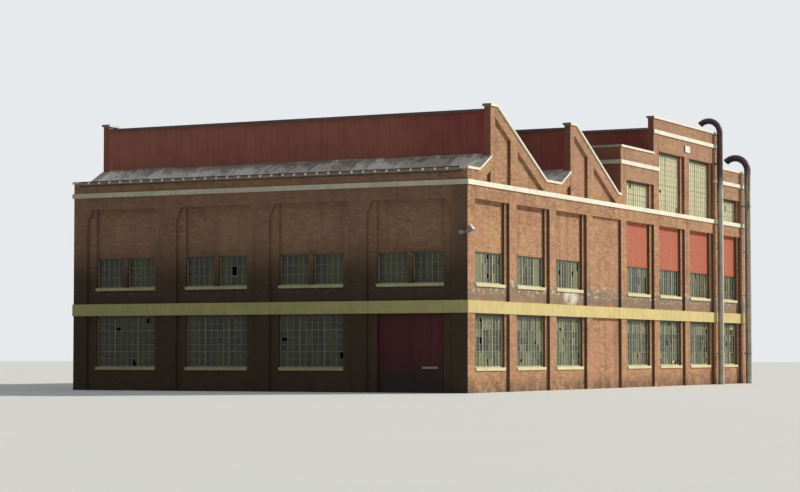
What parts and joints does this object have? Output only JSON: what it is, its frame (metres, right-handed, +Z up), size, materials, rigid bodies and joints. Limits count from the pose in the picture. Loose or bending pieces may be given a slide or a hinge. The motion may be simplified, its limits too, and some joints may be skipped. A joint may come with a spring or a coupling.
{
  "type": "factory building with saw-tooth roof",
  "caption": "Two-storey brick factory with a saw-tooth roof, a taller monitor block, steel windows, two bent ducts and a pair of hinged doors.",
  "frame": {"origin": "on the ground, in the middle of the plan of the walls", "axes": "+X along the long front towards the monitor block, +Y from the front to the back, +Z up"},
  "size_m": [35.7249, 19.7348, 13.9999],
  "materials": {
    "brick": "matt",
    "cream_band": "painted, weathered",
    "white_stone": "weathered",
    "red_paint": "faded",
    "oxide_cladding": "matt",
    "roofing": "matt",
    "weathered_sheet": "weathered",
    "concrete": "rough",
    "steel_frame": "weathered",
    "window_glass": "dusty",
    "duct_metal": "rusty",
    "galvanised": "dull",
    "door_red": "painted, worn"
  },
  "bodies": {
    "building": {"front_ground_wall": "brick", "back_ground_wall": "brick", "right_ground_wall": "brick", "left_ground_wall": "brick", "left_corner_pier": "brick", "front_upper_wall": "brick", "back_upper_wall": "brick", "left_upper_wall": "brick", "right_upper_wall": "brick", "front_gables": "brick", "back_gables": "brick", "front_monitor_wall": "brick", "back_monitor_wall": "brick", "right_monitor_wall": "brick", "left_monitor_wall": "brick", "left_eaves": "brick", "lintel_band": "cream_band", "window_sills": "cream_band", "stone_belt": "white_stone", "stone_copings": "white_stone", "monitor_bands": "white_stone", "key_stones": "white_stone", "painted_infills": "red_paint", "light_walls": "oxide_cladding", "clerestory_walls": "oxide_cladding", "valley_roofs": "roofing", "saw_roofs": "roofing", "wing_roofs": "roofing", "nave_roof": "roofing", "rise_roofs": "weathered_sheet", "ground_floor": "concrete", "upper_floor": "concrete", "third_floor": "concrete", "front_window_frames": "steel_frame", "back_window_frames": "steel_frame", "right_window_frames": "steel_frame", "left_window_frames": "steel_frame", "front_glass": "window_glass", "back_glass": "window_glass", "right_glass": "window_glass", "left_ground_glass": "window_glass", "left_upper_glass": "window_glass", "duct_tall": "duct_metal", "duct_low": "duct_metal", "eaves_gutter": "galvanised", "corner_lamp": "galvanised", "door_frame": "door_red"},
    "leaf_back": {"door_leaf_back": "door_red"},
    "leaf_front": {"door_leaf_front": "door_red", "door_pull": "galvanised"}
  },
  "joints": [
    {"name": "door_back_hinge", "type": "hinge", "parent": "building", "child": "leaf_back", "pos_m": [-17.496, -5.496, 0], "axis": [0, 0, -1], "range_deg": [0, 90]},
    {"name": "door_front_hinge", "type": "hinge", "parent": "building", "child": "leaf_front", "pos_m": [-17.496, -8.364, 0], "axis": [0, 0, 1], "range_deg": [0, 90]}
  ]
}
